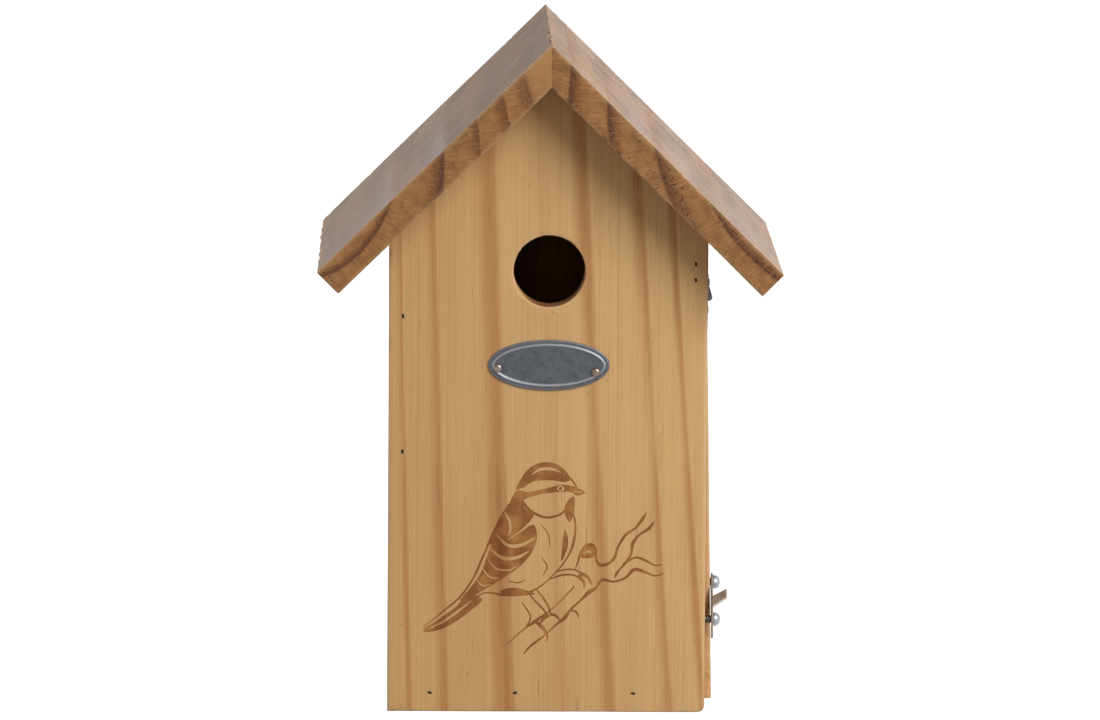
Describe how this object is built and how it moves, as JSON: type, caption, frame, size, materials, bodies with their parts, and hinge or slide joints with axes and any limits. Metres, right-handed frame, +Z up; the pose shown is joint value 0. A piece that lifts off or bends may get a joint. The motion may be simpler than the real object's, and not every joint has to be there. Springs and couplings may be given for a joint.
{
  "type": "birdhouse",
  "caption": "Gabled pine nest box with a round entrance hole, a top-hinged side cleaning door and a swing-hook latch.",
  "frame": {"origin": "bottom centre of the whole box, roof included", "axes": "+Z up; -Y is the way the entrance faces; +X is the side of the cleaning door"},
  "size_m": [0.1812, 0.16, 0.2651],
  "materials": {
    "pine_front": "planed softwood, honey brown, unvarnished",
    "pine_walls": "sawn softwood, unvarnished",
    "pine_roof": "sawn softwood, weathered grey on its top faces",
    "plate_zinc": "dull dark zinc",
    "bright_zinc": "bright zinc plating",
    "dark_brads": "dark, slightly rusted steel",
    "hinge_steel": "dull plated steel",
    "latch_steel": "dull galvanised steel"
  },
  "bodies": {
    "carcass": {"front_board": "pine_front", "back_board": "pine_walls", "left_side_board": "pine_walls", "right_top_rail": "pine_walls", "floor_board": "pine_walls", "roof_board_left": "pine_roof", "roof_board_right": "pine_roof", "name_plate": "plate_zinc", "plate_nails": "bright_zinc", "front_brads": "dark_brads", "back_brads": "dark_brads", "roof_brads": "dark_brads", "hinge_front_rail_leaf": "hinge_steel", "hinge_rear_rail_leaf": "hinge_steel", "hinge_front_pin": "hinge_steel", "hinge_rear_pin": "hinge_steel", "hinge_screws_rail": "hinge_steel", "latch_keeper_screw": "bright_zinc"},
    "door": {"side_door": "pine_walls", "hinge_front_door_leaf": "hinge_steel", "hinge_rear_door_leaf": "hinge_steel", "hinge_screws_door": "hinge_steel", "latch_pivot_screw": "bright_zinc"},
    "latch": {"latch_hook": "latch_steel"}
  },
  "joints": [
    {"name": "door_hinge", "type": "hinge", "parent": "carcass", "child": "door", "pos_m": [0.06295, 0, 0.1617], "axis": [0, -1, 0], "range_deg": [0, 100]},
    {"name": "latch_pivot", "type": "hinge", "parent": "door", "child": "latch", "pos_m": [0.06542, -0.042, 0.0489], "axis": [-1, 0, 0], "range_deg": [0, 75]}
  ]
}
